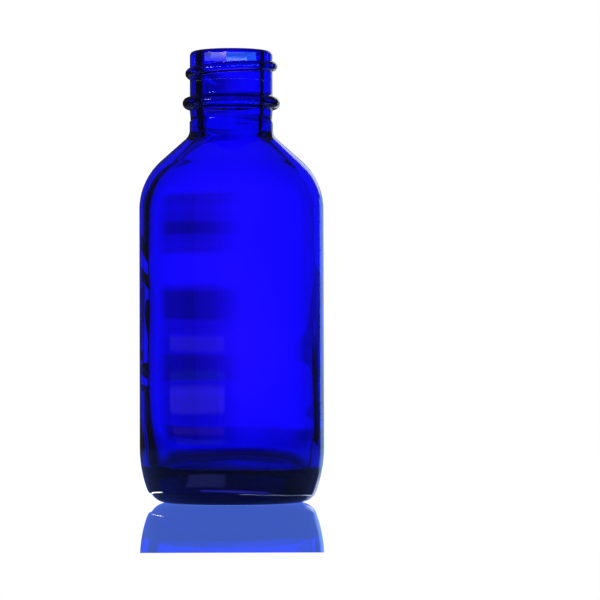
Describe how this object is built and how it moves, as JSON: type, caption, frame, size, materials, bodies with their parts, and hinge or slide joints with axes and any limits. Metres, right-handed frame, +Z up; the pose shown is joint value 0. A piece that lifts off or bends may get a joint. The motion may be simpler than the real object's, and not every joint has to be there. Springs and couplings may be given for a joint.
{
  "type": "boston round bottle",
  "caption": "Small round-shouldered bottle of clear cobalt blue glass with an open mouth, a continuous-thread neck finish and a transfer bead, for holding liquids.",
  "frame": {"origin": "centre of the bearing ring, in the plane that the bottle stands on", "axes": "+Z up the bottle's axis to the mouth, -Y towards the camera of the picture, +X to its right"},
  "size_m": [0.0388, 0.0388, 0.095],
  "materials": {
    "cobalt_glass": "fire-polished clear glass, saturated cobalt blue through its whole thickness"
  },
  "bodies": {
    "root": {"glass_bottle": "cobalt_glass"}
  },
  "joints": []
}
